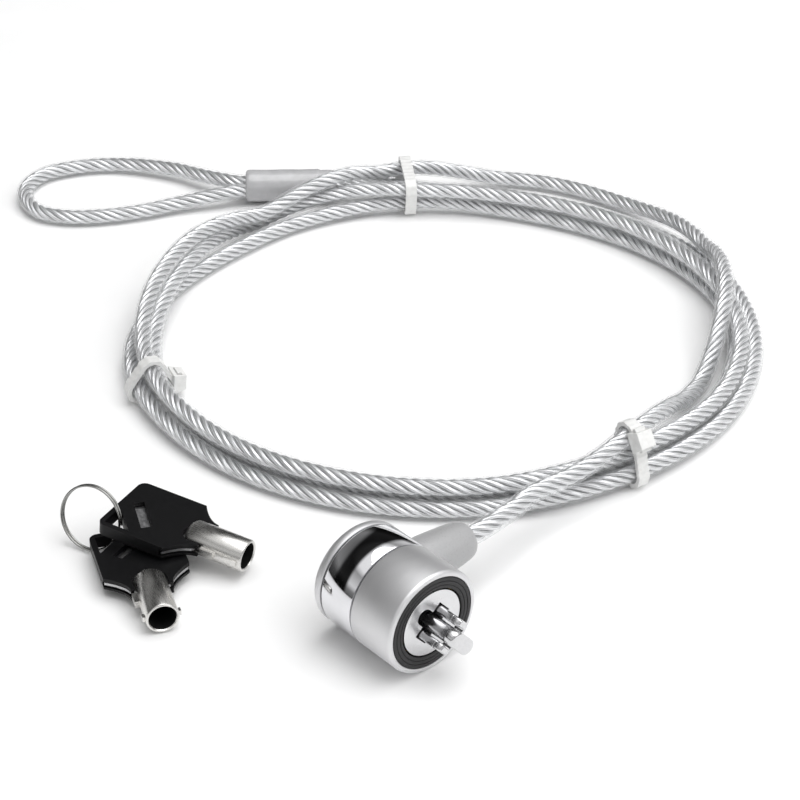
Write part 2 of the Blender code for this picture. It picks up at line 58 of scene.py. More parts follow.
sleeve_low, sleeve_high = node_box("front_sleeve")
HEAD_RADIUS = (sleeve_high.z - sleeve_low.z) / 2
HEAD = Vector((sleeve_high.x, (sleeve_low.y + sleeve_high.y) / 2, (sleeve_low.z + sleeve_high.z) / 2))
SLEEVE_REAR = sleeve_low.x - HEAD.x
band_low, band_high = node_box("swivel_ring")
BAND_REAR, BAND_FRONT = band_low.x - HEAD.x, band_high.x - HEAD.x
cap_low, cap_high = node_box("rear_cap")
CAP_REAR, CAP_FRONT = cap_low.x - HEAD.x, cap_high.x - HEAD.x
boot_low, boot_high = node_box("boot")
BOOT_STATION = (boot_low.x + boot_high.x) / 2 - HEAD.x
BOOT_TIP = boot_high.y - HEAD.y
coil_low, coil_high = node_box("cable_coil")
COIL_CENTRE = (coil_low + coil_high) / 2

PIN_ROLL = 40.2                             # line of the guide pins, degrees from +Y toward +Z
KEY_OPENING = 3.6
TIE_HEADS = {"tie_top": -20, "tie_left": 185, "tie_right": 35}    # where each head sits, from outward
KEY_TURNS = {"key_1": (22.4, 5.0, -3.0), "key_2": (-23.35, -1.2, 0.0)}   # heading, dip, roll
RING_AZIMUTH, RING_ELEVATION = -66.9, 17.2
RING_WIRE, RING_PITCH = 0.45, 0.7

# ---------------------------------------------------------------- cable facts

CABLE_DIAMETER = 4.0
FLOOR_HEIGHT = CABLE_DIAMETER / 2           # centre of a strand that lies on the surface
TIE_THICKNESS = 1.0
SLEEVE_RADIUS, SLEEVE_HEIGHT = 3.85, 4.2
SLEEVE_NEAR = Vector((-111.2, 104.35, SLEEVE_HEIGHT))
SLEEVE_FAR = Vector((-124.9, 87.85, SLEEVE_HEIGHT))
LEG_OFFSET = 1.75                           # each leg's distance from the sleeve's axis

# The same routes as in the part: the lead after the boot's tip, and the eye
LEAD_ROUTE = [(19, 31, 10), (18.5, 36, 10), (17.5, 41, 9.5), (16.5, 46, 9.5)]
EYE_ROUTE = [(-127.5, 88, 4), (-131, 86, 4), (-137, 84, 3.5), (-145, 81.5, 3), (-153, 77, 2.5),
             (-158.5, 72.5, 2.1), (-162.5, 66.5, 2.1), (-165, 59, 2.1), (-164, 53, 2.1),
             (-160.5, 48.5, 2.1), (-155.5, 46, 2.1), (-149.5, 45.5, 2.1), (-144.5, 48, 2.1),
             (-140.5, 52, 2.1), (-137, 57.5, 2.1), (-134, 64, 2.1), (-131, 72, 2.5),
             (-127, 80, 3.5), (-124, 86, 4)]

# The coil is wound from COIL_START, a bearing in degrees. A few places are given, mostly where a
# turn is widest or narrowest, as (degrees wound, radius): a loop works out its points from them,
# and their heights from what lies below.
COIL_START = -26
COIL_END = 1258                             # degrees wound where the cable leaves for the sleeve
COIL_SWAY = [(-30, 78), (50, 58), (140, 72), (195, 59), (300, 66), (400, 65), (525, 54), (568, 62),
             (595, 60), (650, 64), (790, 63), (865, 55), (930, 57), (1000, 68), (1170, 67),
             (1235, 60), (1290, 70)]
WINDING_STEP = 2                            # degrees between the points whose heights are found
HUMP = 26                                   # how far along the cable a rise is spread
SETTLING_ROUNDS = 6                         # times the strands' heights are worked out afresh
STRAP_REACH = 22                            # degrees either side of a tie that its strap lifts
STRAND_CLEARANCE = 0.15                     # room kept under the lowest strands
ROUTE_SPACING = 1.0

# The rope inside the jacket
ROPE_STRANDS = 6
STRAND_RADIUS, STRAND_OFFSET = 0.57, 1.1
ROPE_LAY = 14.5                             # length of one turn of a strand, right-handed
STRAND_SIDES = 8
WIRES_PER_STRAND = 7

# The ties
STRAP_ROOM = 0.08                           # between the jacket and the strap
STRAP_HALF_WIDTH = 1.3
RIB_STEP = 0.36                             # two steps raised, then two low
RIB_TOP, RIB_FOOT = 0.05, 0.22              # how far each lies below the strap's full thickness


# ---------------------------------------------------------------- building blocks

def add_piece(name, bm, mat, body, replaces=(), place=None, cutters=(), bevel=0.0,
              segments=2, sharp=32, inner=None):
    """Makes a piece from a bmesh in millimetres, carves it, and puts it on its body.

    inner is a second material and a test on a face's centre that says which faces take it.
    """
    bmesh.ops.remove_doubles(bm, verts=bm.verts, dist=1e-4)
    bmesh.ops.recalc_face_normals(bm, faces=bm.faces)
    mesh = bpy.data.meshes.new(name)
    bm.to_mesh(mesh)
    bm.free()
    mesh.shade_smooth()
    obj = bpy.data.objects.new(name, mesh)
    bpy.context.collection.objects.link(obj)
    helpers = []
    for number, (operation, other) in enumerate(cutters):
        bmesh.ops.recalc_face_normals(other, faces=other.faces)
        helper_mesh = bpy.data.meshes.new("helper")
        other.to_mesh(helper_mesh)
        other.free()
        helper = bpy.data.objects.new("helper", helper_mesh)
        bpy.context.collection.objects.link(helper)
        helpers.append(helper)
        carve = obj.modifiers.new(f"carve_{number}", "BOOLEAN")
        carve.operation = operation
        carve.object = helper
    if bevel:
        soften = obj.modifiers.new("soften", "BEVEL")
        soften.width = bevel
        soften.segments = segments
        soften.limit_method = "ANGLE"
        soften.angle_limit = math.radians(sharp)
        soften.harden_normals = True
    if obj.modifiers:
        depsgraph = bpy.context.evaluated_depsgraph_get()
        made = bpy.data.meshes.new_from_object(obj.evaluated_get(depsgraph))
        obj.modifiers.clear()
        obj.data = made
        bpy.data.meshes.remove(mesh)
        mesh = made
        mesh.name = name
    for helper in helpers:
        data = helper.data
        bpy.data.objects.remove(helper, do_unlink=True)
        bpy.data.meshes.remove(data)
    around_uv(mesh)
    mesh.materials.clear()
    mesh.materials.append(mat)
    if inner:
        mesh.materials.append(inner[0])
        for face in mesh.polygons:
            face.material_index = int(inner[1](face.center))
    mesh.transform(Matrix.Scale(MM, 4) @ (place or Matrix.Identity(4)))
    if not bevel:
        mesh.shade_smooth()
        mesh.set_sharp_from_angle(angle=math.radians(sharp))
    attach(obj, body)
    if replaces:
        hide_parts(*replaces)
    return obj


def around_uv(mesh):
    """UVs for a piece made about the X axis, where it has none: u along X, v round it."""
    if mesh.uv_layers:
        return
    layer = mesh.uv_layers.new(name="around")
    for face in mesh.polygons:
        places = [mesh.vertices[mesh.loops[i].vertex_index].co for i in face.loop_indices]
        turns = [math.atan2(p.z, p.y) / (2 * math.pi) for p in places]
        if max(turns) - min(turns) > 0.5:
            turns = [t + 1 if t < 0 else t for t in turns]
        for i, p, t in zip(face.loop_indices, places, turns):
            layer.data[i].uv = (p.x / 10, t)


def turned(profile, sides=SIDES, closed=True):
    """Spins a profile of (station on X, radius) about the X axis."""
    bm = bmesh.new()
    verts = [bm.verts.new((x, radius, 0)) for x, radius in profile]
    pairs = list(zip(verts, verts[1:]))
    if closed:
        pairs.append((verts[-1], verts[0]))
    edges = [bm.edges.new(pair) for pair in pairs]
    bmesh.ops.spin(bm, geom=verts + edges, cent=(0, 0, 0), axis=(1, 0, 0), angle=2 * math.pi,
                   steps=sides, use_merge=True)
    bmesh.ops.remove_doubles(bm, verts=bm.verts, dist=1e-4)
    return bm


def rod(radius, start, end, sides=48):
    return turned([(start, 0), (start, radius), (end, radius), (end, 0)], sides, closed=False)


def moved(bm, matrix):
    bmesh.ops.transform(bm, matrix=matrix, verts=bm.verts)
    return bm


def bridged(rings, caps=True):
    """Skin over rings of points that all have the same count."""
    bm = bmesh.new()
    made = [[bm.verts.new(p) for p in ring] for ring in rings]
    count = len(rings[0])
    for lower, upper in zip(made, made[1:]):
        for i in range(count):
            j = (i + 1) % count
            bm.faces.new((lower[i], lower[j], upper[j], upper[i]))
    if caps:
        bm.faces.new(made[0])
        bm.faces.new(made[-1])
    return bm


def stacked(outline, stations):
    """Closed solid through copies of an outline (y, z) at stations of (x, scale about its middle)."""
    middle = sum((Vector(p) for p in outline), Vector((0, 0))) / len(outline)
    rings = []
    for x, scale in stations:
        points = [middle + (Vector(p) - middle) * scale for p in outline]
        rings.append([(x, p.x, p.y) for p in points])
    return bridged(rings)


def extruded(outline, low, high):
    return bridged([[(x, y, z) for x, y in outline] for z in (low, high)])


def block(low, high):
    (x0, y0, z0), (x1, y1, z1) = low, high
    return bridged([[(x, y0, z0), (x, y1, z0), (x, y1, z1), (x, y0, z1)] for x in (x0, x1)])


def arc(centre, radius, start, end, steps):
    """Points on an arc, angles in degrees."""
    points = []
    for i in range(steps + 1):
        angle = math.radians(start + (end - start) * i / steps)
        points.append((centre[0] + radius * math.cos(angle), centre[1] + radius * math.sin(angle)))
    return points


def stadium(half_length, half_width, steps=14):
    """Oblong with round ends, long in its second coordinate."""
    reach = half_length - half_width
    return [(b, a) for a, b in (arc((reach, 0), half_width, -90, 90, steps)
                                + arc((-reach, 0), half_width, 90, 270, steps))]


def rounded_box(low, high, radius, steps=6):
    """Rectangle (a, b) with rounded corners."""
    (a0, b0), (a1, b1) = low, high
    return (arc((a1 - radius, b0 + radius), radius, -90, 0, steps)
            + arc((a1 - radius, b1 - radius), radius, 0, 90, steps)
            + arc((a0 + radius, b1 - radius), radius, 90, 180, steps)
            + arc((a0 + radius, b0 + radius), radius, 180, 270, steps))


def rotation(degrees, axis):
    return Matrix.Rotation(math.radians(degrees), 4, axis)


# ---------------------------------------------------------------- materials

class Surface:
    """A Principled material whose colour, roughness and bump come from procedural nodes."""

    def __init__(self, name, colour, roughness, metallic=0.0, **sockets):
        self.mat = bpy.data.materials.new(name)
        self.mat.use_nodes = True
        self.nodes = self.mat.node_tree.nodes
        self.links = self.mat.node_tree.links
        self.shader = self.nodes["Principled BSDF"]
        self.colour, self.roughness = colour, roughness
        self.shader.inputs["Base Color"].default_value = (*colour, 1)
        self.shader.inputs["Roughness"].default_value = roughness
        self.shader.inputs["Metallic"].default_value = metallic
        for socket, value in sockets.items():
            self.shader.inputs[socket.replace("_", " ")].default_value = value

    def noise(self, scale, detail=3.0, source="Object"):
        """Noise stretched by a scale for each axis."""
        coords = self.nodes.new("ShaderNodeTexCoord")
        mapping = self.nodes.new("ShaderNodeMapping")
        mapping.inputs["Scale"].default_value = scale
        texture = self.nodes.new("ShaderNodeTexNoise")
        texture.inputs["Scale"].default_value = 1.0
        texture.inputs["Detail"].default_value = detail
        self.links.new(coords.outputs[source], mapping.inputs["Vector"])
        self.links.new(mapping.outputs["Vector"], texture.inputs["Vector"])
        return texture.outputs["Fac"]

    def vary(self, factor, spread=0.08, rough_spread=0.06):
        """Lets a factor shade the colour and the roughness about their own values."""
        ramp = self.nodes.new("ShaderNodeValToRGB")
        for element, place, gain in zip(ramp.color_ramp.elements, (0.3, 0.7), (1 - spread, 1 + spread)):
            element.position = place
            element.color = (*(min(1.0, c * gain) for c in self.colour), 1)
        self.links.new(factor, ramp.inputs["Fac"])
        self.links.new(ramp.outputs["Color"], self.shader.inputs["Base Color"])
        span = self.nodes.new("ShaderNodeMapRange")
        span.inputs["From Min"].default_value = 0.3
        span.inputs["From Max"].default_value = 0.7
        span.inputs["To Min"].default_value = self.roughness - rough_spread
        span.inputs["To Max"].default_value = self.roughness + rough_spread
        self.links.new(factor, span.inputs["Value"])
        self.links.new(span.outputs["Result"], self.shader.inputs["Roughness"])
        return self

    def bump(self, height, strength, distance=0.00005):
        node = self.nodes.new("ShaderNodeBump")
        node.inputs["Strength"].default_value = strength
        node.inputs["Distance"].default_value = distance
        self.links.new(height, node.inputs["Height"])
        self.links.new(node.outputs["Normal"], self.shader.inputs["Normal"])
        return self

    def math(self, operation, first, second=None):
        node = self.nodes.new("ShaderNodeMath")
        node.operation = operation
        for socket, value in zip(node.inputs, (first, second)):
            if value is None:
                continue
            if isinstance(value, (int, float)):
                socket.default_value = value
            else:
                self.links.new(value, socket)
        return node.outputs["Value"]


def grained(name, colour, roughness, metallic, scale, spread, rough_spread, strength, **sockets):
    surface = Surface(name, colour, roughness, metallic, **sockets)
    grain = surface.noise(scale)
    return surface.vary(grain, spread, rough_spread).bump(grain, strength).mat


def make_rope_material():
    """Bright galvanised wires laid up in strands: fine slanting wires, and grooves darkened with painted
    shade.
    """
    surface = Surface("rope_wire", (0.63, 0.635, 0.645), 0.40, 1.0)
    coords = surface.nodes.new("ShaderNodeTexCoord")
    parts = surface.nodes.new("ShaderNodeSeparateXYZ")
    surface.links.new(coords.outputs["UV"], parts.inputs["Vector"])
    around = surface.math("MULTIPLY", parts.outputs["Y"], WIRES_PER_STRAND)
    along = surface.math("MULTIPLY", parts.outputs["X"], 0.28)
    phase = surface.math("MULTIPLY", surface.math("ADD", around, along), 2 * math.pi)
    wires = surface.math("MULTIPLY_ADD", surface.math("SINE", phase), 0.5)
    wires.node.inputs[2].default_value = 0.5
    # Painted light and shade: the side of a strand that looks outward is painted bright, and its flanks
    # are painted darker into the grooves, where shade falls
    facing_out = surface.math("COSINE", surface.math("MULTIPLY", parts.outputs["Y"], 2 * math.pi))
    painted_groove_shade = surface.math("MULTIPLY_ADD", facing_out, 0.30)
    painted_groove_shade.node.inputs[2].default_value = 0.22
    # shade is the wires' own pattern plus the painted groove shade
    shade = surface.math("MULTIPLY_ADD", wires, 0.42)
    surface.links.new(painted_groove_shade, shade.node.inputs[2])
    surface.vary(shade, 0.36, 0.04)
    return surface.bump(wires, 0.60, 0.00006).mat


def make_jacket_material():
    """Clear PVC: nearly invisible face on, pale and glossy toward its rims."""
    surface = Surface("clear_jacket", (0.93, 0.94, 0.95), 0.14, 0.0, IOR=1.5)
    haze = surface.noise((300, 300, 300))
    surface.vary(haze, 0.03, 0.05)
    facing = surface.nodes.new("ShaderNodeLayerWeight")
    facing.inputs["Blend"].default_value = 0.5
    rim = surface.math("POWER", facing.outputs["Facing"], 4.0)
    cover = surface.math("MULTIPLY_ADD", rim, 0.34)
    surface.links.new(surface.math("MULTIPLY", haze, 0.27), cover.node.inputs[2])
    surface.links.new(cover, surface.shader.inputs["Alpha"])
    return surface.mat


def make_materials():
    turned_marks = (9000, 260, 260)          # lines round the head's axis, along world X
    along_marks = (6, 220, 1)                # lines along a barrel, in its own UVs
    mats = {
        "satin": grained("satin_metal", (0.73, 0.73, 0.74), 0.52, 1.0, turned_marks, 0.02, 0.03, 0.05),
        "polished": grained("polished_band", (0.74, 0.74, 0.76), 0.07, 1.0, (300, 300, 300),
                            0.03, 0.03, 0.02),
        "rubber": grained("face_rubber", (0.016, 0.016, 0.017), 0.58, 0.0, (3500, 3500, 3500),
                          0.35, 0.10, 0.30),
        "disc": grained("face_disc_metal", (0.70, 0.70, 0.71), 0.30, 1.0, (300, 2200, 2200),
                        0.02, 0.03, 0.04),
        "pin": grained("pin_steel", (0.66, 0.66, 0.67), 0.20, 1.0, (1600, 1600, 1600),
                       0.05, 0.05, 0.10),
        "brass": grained("core_brass", (0.71, 0.56, 0.28), 0.30, 1.0, turned_marks, 0.08, 0.08, 0.15),
        "boot": grained("boot_plastic", (0.37, 0.37, 0.375), 0.30, 0.0, (2500, 2500, 2500),
                        0.03, 0.03, 0.05),
        "cover": grained("ferrule_cover", (0.47, 0.47, 0.48), 0.17, 0.0, (420, 420, 420),
                         0.07, 0.06, 0.25, Coat_Weight=0.4),
        "nylon": grained("tie_nylon", (0.76, 0.76, 0.75), 0.36, 0.0, (900, 900, 900),
                         0.05, 0.06, 0.10),
        "black": grained("key_plastic", (0.004, 0.004, 0.0045), 0.42, 0.0, (3000, 3000, 3000),
                         0.30, 0.07, 0.10, Specular_IOR_Level=0.22),
        "plate": grained("key_plate", (0.52, 0.52, 0.53), 0.36, 1.0, (1800, 1800, 1800),
                         0.08, 0.06, 0.12),
        "ring": grained("ring_wire", (0.34, 0.34, 0.33), 0.22, 1.0, (1200, 1200, 1200),
                        0.05, 0.05, 0.08),
    }
    barrel = Surface("nickel_plate", (0.70, 0.69, 0.67), 0.28, 1.0)
    streaks = barrel.noise(along_marks, source="UV")
    mats["nickel"] = barrel.vary(streaks, 0.05, 0.04).bump(streaks, 0.05).mat
    mats["rope"] = make_rope_material()
    mats["jacket"] = make_jacket_material()
    # Painted shadow: near-black for recessed insides (the guide pins' base behind the face plate, the key
    # barrels' bores), where shade falls
    mats["shadow"] = grained("painted_shadow_inside", (0.008, 0.008, 0.008), 0.7, 0.0, (1500, 1500, 1500),
                             0.3, 0.05, 0.1, Specular_IOR_Level=0.15)
    return mats


# ---------------------------------------------------------------- cable route

def swayed_radius(wound):
    """Radius of the coil after so many degrees, eased from each of COIL_SWAY's places to the next."""
    for (before, radius), (after, next_radius) in zip(COIL_SWAY, COIL_SWAY[1:]):
        if wound <= after:
            t = (wound - before) / (after - before)
            return radius + (next_radius - radius) * t * t * (3 - 2 * t)
    return COIL_SWAY[-1][1]


def tie_bearing(name):
    low, high = node_box(name)
    away = (low + high) / 2 - COIL_CENTRE
    return math.degrees(math.atan2(away.y, away.x))


def degrees_apart(a, b):
    return abs((a - b + 180) % 360 - 180)


def bell(distance, reach):
    return 0.5 + 0.5 * math.cos(math.pi * min(distance / reach, 1.0))


def wind_coil():
    """The coil's points, from the lead to the sleeve: each strand rests on those wound after it."""
    steps = COIL_END // WINDING_STEP
    plan, floor = [], []
    bearings = [tie_bearing(name) for name in TIE_HEADS]
    for i in range(steps + 1):
        bearing = COIL_START + i * WINDING_STEP
        angle = math.radians(bearing)
        out = Vector((math.cos(angle), math.sin(angle))) * swayed_radius(i * WINDING_STEP)
        plan.append(COIL_CENTRE.xy + out)
        strap = max(bell(degrees_apart(bearing, tie), STRAP_REACH) for tie in bearings)
        floor.append(FLOOR_HEIGHT + STRAND_CLEARANCE + TIE_THICKNESS * strap)
    below = []                               # for each point, the later points that it lies over
    for i, here in enumerate(plan):
        below.append([(j, math.sqrt(CABLE_DIAMETER ** 2 - (plan[j] - here).length_squared))
                      for j in range(i + 15, steps + 1)
                      if (plan[j] - here).length < CABLE_DIAMETER])
    heights = list(floor)
    reach = int(HUMP / (plan[1] - plan[0]).length)
    for _ in range(SETTLING_ROUNDS):
        rest = [max([floor[i]] + [heights[j] + lift for j, lift in below[i]]) for i in range(steps + 1)]
        rest[0], rest[-1] = LEAD_ROUTE[-1][2], SLEEVE_HEIGHT
        spread = []
        for i in range(steps + 1):
            near = range(max(0, i - reach), min(steps, i + reach) + 1)
            spread.append(max(floor[i] + (rest[j] - floor[i]) * bell(abs(i - j), reach) for j in near))
        windows = [spread[max(0, i - 1):i + 2] for i in range(steps + 1)]
        heights = [sum(window) / len(window) for window in windows]
    return [Vector((*p, z)) for p, z in zip(plan, heights)]


def smooth_route(knots, spacing):
    """Even points on a Catmull-Rom curve through the knots."""
    ends = [2 * knots[0] - knots[1]] + knots + [2 * knots[-1] - knots[-2]]
    dense = []
    for a, b, c, d in zip(ends, ends[1:], ends[2:], ends[3:]):
        for i in range(16):
            t = i / 16
            dense.append(0.5 * (2 * b + (c - a) * t + (2 * a - 5 * b + 4 * c - d) * t * t
                                + (3 * b - a - 3 * c + d) * t ** 3))
    dense.append(knots[-1])
    runs = [0.0]
    for p, q in zip(dense, dense[1:]):
        runs.append(runs[-1] + (q - p).length)
    count = round(runs[-1] / spacing)
    route, k = [], 0
    for i in range(count + 1):
        want = runs[-1] * i / count
        while k < len(runs) - 2 and runs[k + 1] < want:
            k += 1
        t = (want - runs[k]) / (runs[k + 1] - runs[k])
        route.append(dense[k].lerp(dense[k + 1], t))
    return route


def cable_route():
    boot_x = HEAD.x + BOOT_STATION
    inside = Vector((boot_x, HEAD.y + BOOT_TIP - 3, HEAD.z))
    knots = [inside, inside + Vector((0, 3, 0))] + [Vector(p) for p in LEAD_ROUTE]
    knots += wind_coil()[2::3]
    along = (SLEEVE_FAR - SLEEVE_NEAR).normalized()
    aside = Vector((along.y, -along.x, 0)) * LEG_OFFSET
    knots += [SLEEVE_NEAR - 0.3 * aside, SLEEVE_NEAR + 7 * along - 0.1 * aside,
              SLEEVE_NEAR + 14 * along + 0.4 * aside]
    knots += [Vector(p) for p in EYE_ROUTE]
    knots += [SLEEVE_FAR - 5 * along - aside, SLEEVE_NEAR + 8 * along - aside]
    return smooth_route(knots, ROUTE_SPACING)


def route_frames(route):
    """A tangent and two normals at each point, carried along without twist."""
    frames = []
    side = Vector((0, 0, 1))
    for i, here in enumerate(route):
        tangent = (route[min(i + 1, len(route) - 1)] - route[max(i - 1, 0)]).normalized()
        side = (side - tangent * side.dot(tangent)).normalized()
        frames.append((here, side.copy(), tangent.cross(side)))
    return frames


def rope_strand(bm, layer, frames, phase):
    """One strand of the rope, wound right-handed about the cable's centre, with its own UVs."""
    rings = []
    for i, (here, side, across) in enumerate(frames):
        angle = phase + 2 * math.pi * i * ROUTE_SPACING / ROPE_LAY
        out = math.cos(angle) * side + math.sin(angle) * across
        turn = -math.sin(angle) * side + math.cos(angle) * across
        centre = here + out * STRAND_OFFSET
        rings.append([bm.verts.new(centre + STRAND_RADIUS * (math.cos(a) * out + math.sin(a) * turn))
                      for a in (2 * math.pi * k / STRAND_SIDES for k in range(STRAND_SIDES))])
    for i, (lower, upper) in enumerate(zip(rings, rings[1:])):
        for k in range(STRAND_SIDES):
            after = (k + 1) % STRAND_SIDES
            face = bm.faces.new((lower[k], lower[after], upper[after], upper[k]))
            corners = ((i, k), (i, k + 1), (i + 1, k + 1), (i + 1, k))
            for loop, (along, around) in zip(face.loops, corners):
                loop[layer].uv = (along, around / STRAND_SIDES)


def make_cable(mats, route):
    frames = route_frames(route)
    bm = bmesh.new()
    layer = bm.loops.layers.uv.new("strand")
    for number in range(ROPE_STRANDS):
        rope_strand(bm, layer, frames, 2 * math.pi * number / ROPE_STRANDS)
    rope = add_piece("cable_rope", bm, mats["rope"], "cable_side", sharp=180)

    curve = bpy.data.curves.new("cable_jacket", "CURVE")
    curve.dimensions = "3D"
    curve.bevel_depth = CABLE_DIAMETER / 2 * MM
    curve.bevel_resolution = 6
    curve.use_fill_caps = True
    spline = curve.splines.new("POLY")
    jacket_points = route[::2]
    spline.points.add(len(jacket_points) - 1)
    for point, place in zip(spline.points, jacket_points):
        point.co = (*(place * MM), 1.0)
    curve.materials.append(mats["jacket"])
    jacket = bpy.data.objects.new("cable_jacket", curve)
    bpy.context.collection.objects.link(jacket)
    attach(jacket, "cable_side")
    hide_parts("cable_lead", "cable_coil", "cable_eye")
    return jacket, rope


# ---------------------------------------------------------------- ferrule and ties

def make_sleeve(mats):
    """Glossy moulded cover over the crimp, lightly dimpled, stepped down at the cable's end."""
    along = SLEEVE_FAR - SLEEVE_NEAR
    length = along.length
    step, shoulder = 4.3, length - 0.9           # the full-radius body lies between these
    profile = [(0.4, 2.4), (0, SLEEVE_RADIUS - 1.05), (0.12, SLEEVE_RADIUS - 0.75),
               (0.5, SLEEVE_RADIUS - 0.4), (1.1, SLEEVE_RADIUS - 0.25), (3.7, SLEEVE_RADIUS - 0.25),
               (3.95, SLEEVE_RADIUS - 0.12), (step, SLEEVE_RADIUS)]
    dimples, dimple_depth, parts = 2, 0.03, 33
    for i in range(1, parts):
        dip = 1 - math.cos(2 * math.pi * dimples * i / parts)
        profile.append((step + (shoulder - step) * i / parts, SLEEVE_RADIUS - dimple_depth * dip))
    profile += [(shoulder, SLEEVE_RADIUS), (length - 0.45, SLEEVE_RADIUS - 0.08),
                (length - 0.15, SLEEVE_RADIUS - 0.28), (length, SLEEVE_RADIUS - 0.55),
                (length - 0.05, 2.9), (length - 0.5, 2.4)]
    turn = rotation(math.degrees(math.atan2(along.y, along.x)), "Z")
    return add_piece("sleeve_cover", turned(profile, 96), mats["cover"], "cable_side",
                     ("ferrule_sleeve",), Matrix.Translation(SLEEVE_NEAR) @ turn)


def strands_at(route, bearing):
    """Where the cable crosses a bearing from the coil's centre, as (radius, height)."""
    found = []
    for p, q in zip(route, route[1:]):
        a, b = (p - COIL_CENTRE), (q - COIL_CENTRE)
        turn_a = (math.degrees(math.atan2(a.y, a.x)) - bearing + 180) % 360 - 180
        turn_b = (math.degrees(math.atan2(b.y, b.x)) - bearing + 180) % 360 - 180
        if turn_a * turn_b <= 0 and abs(turn_a) < 5 and a.xy.length < 76:
            found.append(Vector((a.xy.length, p.z)))
    return found


def pointing(degrees):
    """A unit vector in a tie's own plane, turned up from outward."""
    return Vector((math.cos(math.radians(degrees)), math.sin(math.radians(degrees))))


def strap_line(centres, reach, spacing):
    """Even places along a line drawn tight round the strands, each with the way it faces."""
    corners = []
    for degrees in range(361):
        way = pointing(degrees)
        held = max(centres, key=lambda c: c.dot(way))
        corners.append((held + way * reach, way))
    walked = [0.0]
    for (here, _), (there, _) in zip(corners, corners[1:]):
        walked.append(walked[-1] + (there - here).length)
    steps = 4 * round(walked[-1] / spacing / 4)
    line, k = [], 0
    for i in range(steps):
        target = walked[-1] * i / steps
        while walked[k + 1] < target:
            k += 1
        share = (target - walked[k]) / max(walked[k + 1] - walked[k], 1e-9)
        (here, way), (there, next_way) = corners[k], corners[k + 1]
        line.append((here.lerp(there, share), way.lerp(next_way, share).normalized()))
    return line


def make_tie(name, mats, route):
    """Ribbed nylon strap drawn tight round the strands it holds, with its ratchet head and tail."""
    bearing = tie_bearing(name)
    centres = strands_at(route, bearing)
    inner = CABLE_DIAMETER / 2 + STRAP_ROOM
    half = STRAP_HALF_WIDTH
    rings = []
    for i, (near, way) in enumerate(strap_line(centres, inner, RIB_STEP)):
        far = near + way * (TIE_THICKNESS - (RIB_TOP if i % 4 < 2 else RIB_FOOT))
        rings.append([(near.x, -half, near.y), (far.x, -half, far.y),
                      (far.x, half, far.y), (near.x, half, near.y)])
    bm = bridged(rings + rings[:1], caps=False)
    place = Matrix.Translation((COIL_CENTRE.x, COIL_CENTRE.y, 0)) @ rotation(bearing, "Z")
    strap = add_piece(name + "_strap", bm, mats["nylon"], "cable_side", (name,), place,
                      bevel=0.06)

    # The head sits on the strap's straight stretch, so its seat is shared between the strands
    slant = TIE_HEADS[name]
    swings = (-30, -15, 0, 15, 30)
    held = Vector((0, 0))
    for swing in swings:
        way = pointing(slant + swing)
        held += max(centres, key=lambda c: c.dot(way)) / len(swings)
    seat = held + pointing(slant) * (inner + TIE_THICKNESS)
    head = bridged([[(x, -wide, -deep), (x, wide, -deep), (x, wide, deep), (x, -wide, deep)]
                    for x, wide, deep in ((-0.5, 2.2, 2.1), (2.4, 1.75, 1.7))])
    slot = block((0.4, -1.5, -3), (1.5, 1.5, 3))
    head_place = place @ Matrix.Translation((seat.x, 0, seat.y)) @ rotation(-slant, "Y")
    latch = add_piece(name + "_head", head, mats["nylon"], "cable_side", (), head_place,
                      [("DIFFERENCE", slot)], bevel=0.35, segments=3)
    tail = block((0.5, -1.2, -2.3), (1.4, 1.2, 2.6))
    stub = add_piece(name + "_tail", tail, mats["nylon"], "cable_side", (), head_place,
                     bevel=0.15)
    return [strap, latch, stub]


# ---------------------------------------------------------------- lock head

